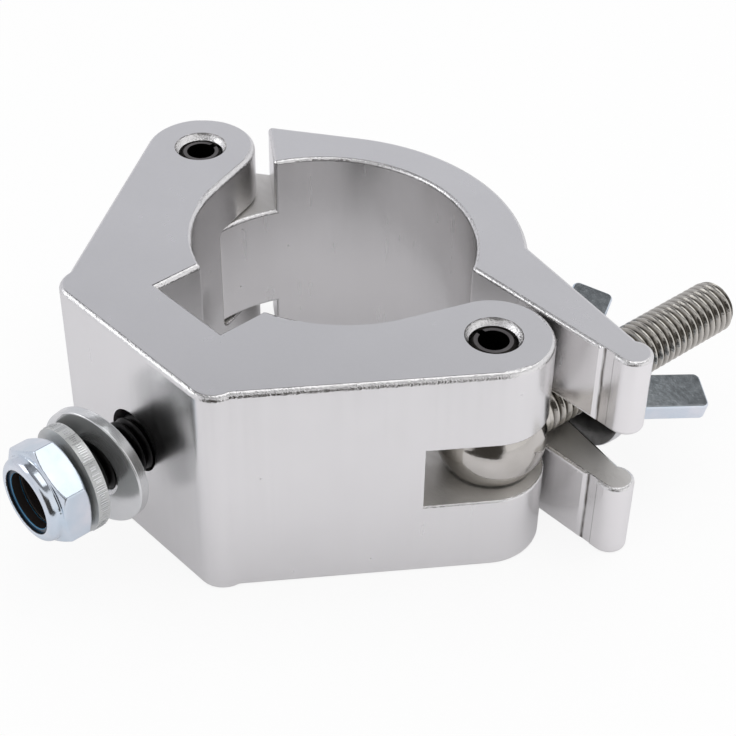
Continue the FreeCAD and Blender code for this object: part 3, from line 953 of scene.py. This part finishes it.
# %% Mounting bolt
HEAD_HEIGHT = 6.4 * MM
HEAD_SHARP = 25
SEAT_SLACK = 0.1 * MM
ROD_SINK = 1 * MM
MOUNTING_PLAIN = 2 * MM
bolt_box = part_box("mounting_bolt")
bolt_height = joints["lock_nut_turn"]["pos_m"][2]
seat = bolt_box[1].y - HEAD_HEIGHT


def head_only(place):
    """True on the head of the mounting bolt."""
    return place.y > seat - SEAT_SLACK


head = piece("mounting_bolt_head", welded("mounting_bolt", head_only), [black_oxide], sharp=HEAD_SHARP)
stands_for(head, "mounting_bolt")
rod_foot = Vector((0, seat + ROD_SINK, bolt_height))
mounting_thread = threaded_rod("mounting_bolt_thread", rod_foot, Vector((0, -1, 0)),
                               seat + ROD_SINK - bolt_box[0].y, MOUNTING_PLAIN, black_oxide)
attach(mounting_thread, "base")

# %% [markdown]
# ## Marks on the spring washer
# The rim of the spring washer is scored across where its wire was drawn and coiled.
# A bump could hint at the marks, but they break the outline, so they are small ridges.
# They follow the winding: points climb along the rim, and each carries one ridge of its own size.

# %% Rim mark tree
UNEVEN_STEPS = 0.6
SMALLEST_RIDGE = (0.5, 0.3, 0.6)
LARGEST_RIDGE = (1.1, 1.0, 1.4)


def rim_tree():
    """A tree that sets small ridges along a winding rim."""
    sizes = ("Radius", "Start", "Sweep", "Rise", "Proud", "Across", "Width")
    graph = Graph(new_tree("rim_marks", sizes, ("Count", "Seed")))
    inputs = graph.node("NodeGroupInput")
    radius, start, sweep, rise, proud, across, width = [inputs.out(name) for name in sizes]
    count, seed = inputs.out("Count"), inputs.out("Seed")
    chance = graph.node("FunctionNodeRandomValue", {"data_type": "FLOAT"}, {"Seed": seed}, "Value_001")
    along = (graph.node("GeometryNodeInputIndex") + chance * UNEVEN_STEPS) / count
    angle = start + sweep * along
    place = graph.node("ShaderNodeCombineXYZ", {}, {
        "X": radius * graph.math("COSINE", angle), "Y": 0 - rise * along,
        "Z": radius * graph.math("SINE", angle)})
    points = graph.node("GeometryNodePoints", {}, {"Count": count, "Position": place})
    size = graph.node("ShaderNodeCombineXYZ", {}, {"X": proud, "Y": across, "Z": width})
    ridge = graph.node("GeometryNodeMeshCube", {}, {"Size": size}, "Mesh")
    turn = graph.node("ShaderNodeCombineXYZ", {}, {"Y": 0 - angle})
    vary = graph.node("FunctionNodeRandomValue", {"data_type": "FLOAT_VECTOR"}, {
        "Min": SMALLEST_RIDGE, "Max": LARGEST_RIDGE, "Seed": seed + 1}, "Value")
    ridges = graph.node("GeometryNodeInstanceOnPoints", {}, {
        "Points": points, "Instance": ridge, "Rotation": turn, "Scale": vary})
    return end_tree(graph, ridges, inputs.out("Finish"))


rim_mark_tree = rim_tree()

# %% [markdown]
# ## The marks in place
# They start beside the washer's split and run round to its other side.

# %% Rim marks
RIM_START = 1.1 * MM
rim_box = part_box("spring_washer")
rim_marks = grown("spring_washer_marks", rim_mark_tree, {
    "Radius": (rim_box[1].x - rim_box[0].x) / 2, "Start": math.radians(208), "Sweep": math.radians(-346),
    "Rise": 1.5 * MM, "Proud": 0.28 * MM, "Across": 2.0 * MM, "Width": 0.17 * MM,
    "Count": 126, "Seed": 7, "Finish": washer_zinc})
rim_marks.data.transform(Matrix.Translation((0, rim_box[1].y - RIM_START, bolt_height)))
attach(rim_marks, body_of["spring_washer"])
print(rim_marks.name, "has", len(rim_marks.data.polygons), "faces")

# %% [markdown]
# ## The studio
# Metal shows little but what it mirrors, so the room matters as much as the finish.
# The clamp stands on a white table in a white room with a large soft lamp above it.
# The front of the room is open and dark, and a dark cornice runs round under a dim ceiling.
# Flat faces look to the white parts, and only rounds and threads pick up the dark ones, as thin lines.
# This rule says how far a direction points to the open front.

# %% The open front
WHITE = (1, 1, 1, 1)
DARK = (0.06, 0.055, 0.05, 1)
FRONT = (0.643, -0.766, 0.0)
FRONT_CORE = math.cos(math.radians(26))
FRONT_RIM = math.cos(math.radians(34))


def in_front(graph, place):
    """1 towards the open front of the room and 0 to its sides."""
    flat = graph.vector("NORMALIZE", graph.vector("MULTIPLY", place, (1, 1, 0)))
    facing = graph.vector("DOT_PRODUCT", flat, FRONT, output="Value")
    return graph.clamp((facing - FRONT_RIM) / (FRONT_CORE - FRONT_RIM))


print("the front lies towards", FRONT)

# %% [markdown]
# ## Table
# Camera rays see the table close to white, and the soft shadow of the clamp stays.
# Reflections see a greyer table, with painted shade that makes it darker to the left, and it ends a hand's width
# before the clamp.

# %% Table
REACH = 3.0
TABLE_EDGE = 112 * MM
EDGE_BLUR = 16 * MM
CAMERA_GLOW = 0.88
MIRROR_GLOW = 0.15
TABLE_GLOSS = 0.35
TABLE_WHITE = (0.9, 0.9, 0.9, 1)
TABLE_MIDDLE = 0.6
SHARE_PER_METRE = 9
TABLE_LEFT = (0.72, 0.71, 0.74, 1)
TABLE_RIGHT = (0.86, 0.845, 0.875, 1)


def table_finish():
    """White to the camera, and greyer in reflections, with painted shade to the left and a dark front."""
    material = bpy.data.materials.new("table_white")
    material.use_nodes = True
    graph = Graph(material.node_tree)
    shader = material.node_tree.nodes["Principled BSDF"]
    shader.inputs["Roughness"].default_value = TABLE_GLOSS
    place = graph.node("ShaderNodeTexCoord", output="Object")
    away = graph.vector("LENGTH", place, output="Value")
    beyond = in_front(graph, place) * graph.clamp((away - TABLE_EDGE) / EDGE_BLUR)
    camera_ray = graph.node("ShaderNodeLightPath", output="Is Camera Ray")
    glossy_ray = camera_ray.out("Is Glossy Ray")
    glow_share = camera_ray * CAMERA_GLOW + glossy_ray * (beyond * (1 - MIRROR_GLOW) + MIRROR_GLOW)
    x = graph.node("ShaderNodeSeparateXYZ", {}, {0: place}, "X")
    # Painted shade: in reflections the table is painted darker towards the left, where less lamp light falls.
    mirrored = graph.blend(graph.clamp(x * SHARE_PER_METRE + TABLE_MIDDLE), TABLE_LEFT, TABLE_RIGHT)
    graph.feed(shader.inputs["Base Color"], graph.blend(glossy_ray, TABLE_WHITE, mirrored))
    glow = graph.node("ShaderNodeEmission", {}, {
        "Color": graph.blend(beyond * glossy_ray, WHITE, DARK), "Strength": 1.0})
    mixed = graph.node("ShaderNodeMixShader", {}, {0: glow_share, 1: Wire(graph, shader.outputs[0]), 2: glow})
    graph.feed(material.node_tree.nodes["Material Output"].inputs["Surface"], mixed)
    return material


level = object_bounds()[0].z
table_mesh = bpy.data.meshes.new("table")
corners = [(x * REACH, y * REACH, level) for x, y in ((-1, -1), (1, -1), (1, 1), (-1, 1))]
table_mesh.from_pydata(corners, [], [(0, 1, 2, 3)])
table_mesh.materials.append(table_finish())
table = bpy.data.objects.new("table", table_mesh)
bpy.context.scene.collection.objects.link(table)
print("table at z =", round(level / MM, 2), "mm")

# %% [markdown]
# ## Room
# The walls are near white, and greyer to the left. A dark cornice runs round below the ceiling.
# A lamp in Cycles doesn't hide what is behind it, so a white ceiling would add to the overhead lamp,
# and level faces seen from above would clip to white. That is why the ceiling is dim.

# %% Room
WALLS = [(0.0, 1.0), (0.3, 0.98), (0.68, 0.95)]
CORNICE = [(0.73, 0.2), (0.82, 0.2)]
CEILING = [(0.87, 0.35)]
ROOM_LEFT = (0.72, 0.72, 0.76, 1)
ROOM_RIGHT = (1.0, 0.99, 1.0, 1)
FILL = (0.85, 0.85, 0.85, 1)
FRONT_TOP = 0.5
FRONT_BLUR = 0.12
world = bpy.data.worlds.new("studio")
bpy.context.scene.world = world
world.use_nodes = True
graph = Graph(world.node_tree)
towards = graph.node("ShaderNodeTexCoord", output="Generated")
up = graph.node("ShaderNodeSeparateXYZ", {}, {0: towards}, "Z")
walls = graph.node("ShaderNodeValToRGB", {"stops": WALLS + CORNICE + CEILING}, {"Fac": up})
tint = graph.blend(graph.clamp(up.out("X") * 0.5 + 0.5), ROOM_LEFT, ROOM_RIGHT)
opening = in_front(graph, towards) * graph.clamp((FRONT_TOP - up) / FRONT_BLUR)
room = graph.blend(opening, graph.blend(1.0, walls, tint, "MULTIPLY"), DARK)
camera_ray = graph.node("ShaderNodeLightPath", output="Is Camera Ray")
mirrored = graph.math("MAXIMUM", camera_ray.out("Is Glossy Ray"), camera_ray.out("Is Transmission Ray"))
seen = graph.blend(camera_ray, graph.blend(mirrored, FILL, room), WHITE)
graph.feed(world.node_tree.nodes["Background"].inputs["Color"], seen)
print("room has", len(world.node_tree.nodes), "nodes")

# %% [markdown]
# ## Lamps
# One long soft lamp hangs above, a little to the right and behind, so the shadow falls to the left.
# A smaller one at the left gives the edges of the nose and the arm their white lines.
# A lamp's energy grows with its size here, so that its size can change and its face stays as bright.

# %% Lamps


def soft_lamp(name, place, target, size, radiance):
    """A flat lamp that faces a target, with this brightness of its face."""
    lamp = bpy.data.lights.new(name, "AREA")
    lamp.shape = "RECTANGLE"
    lamp.size, lamp.size_y = size
    lamp.energy = radiance * math.pi * size[0] * size[1]
    obj = bpy.data.objects.new(name, lamp)
    obj.location = place
    obj.rotation_euler = (Vector(target) - Vector(place)).to_track_quat("-Z", "Y").to_euler()
    bpy.context.scene.collection.objects.link(obj)
    print(name, "lamp at", place, "m")
    return obj


soft_lamp("overhead", place=(0.09, 0.11, 0.45), target=(0.09, 0.11, 0), size=(0.33, 0.54), radiance=1.08)
soft_lamp("side", place=(-0.31, -0.34, 0.27), target=(0, 0, 0), size=(0.24, 0.24), radiance=1.35)

# %% [markdown]
# ## Camera
# Its angle, distance and lens were worked out from the outline of the body in the photograph.
# It is turned from its own three axes, because the picture is rolled by a degree.

# %% Camera
AZIMUTH = math.radians(46.906)
ELEVATION = math.radians(39.139)
ROLL = math.radians(1.02)
DISTANCE = 292.37 * MM
LENS = 82.57
SENSOR = 36
NEAREST = 10 * MM
LOOKS_AT = Vector((11.596, -4.868, 0)) * MM
flat_back = Vector((math.sin(AZIMUTH), -math.cos(AZIMUTH), 0))
back = flat_back * math.cos(ELEVATION) + Vector((0, 0, math.sin(ELEVATION)))
level_right = Vector((math.cos(AZIMUTH), math.sin(AZIMUTH), 0))
level_up = back.cross(level_right)
right = level_right * math.cos(ROLL) + level_up * math.sin(ROLL)
upward = level_up * math.cos(ROLL) - level_right * math.sin(ROLL)
lens = bpy.data.cameras.new("photo_view")
lens.sensor_width = SENSOR
lens.lens = LENS
lens.clip_start = NEAREST
camera = bpy.data.objects.new("photo_view", lens)
turned = Matrix((right, upward, back)).transposed().to_4x4()
camera.matrix_world = Matrix.Translation(LOOKS_AT + back * DISTANCE) @ turned
bpy.context.scene.collection.objects.link(camera)
bpy.context.scene.camera = camera
bpy.context.scene.view_settings.view_transform = "Standard"
print("camera at", [round(value / MM, 1) for value in camera.matrix_world.translation], "mm")

# %% [markdown]
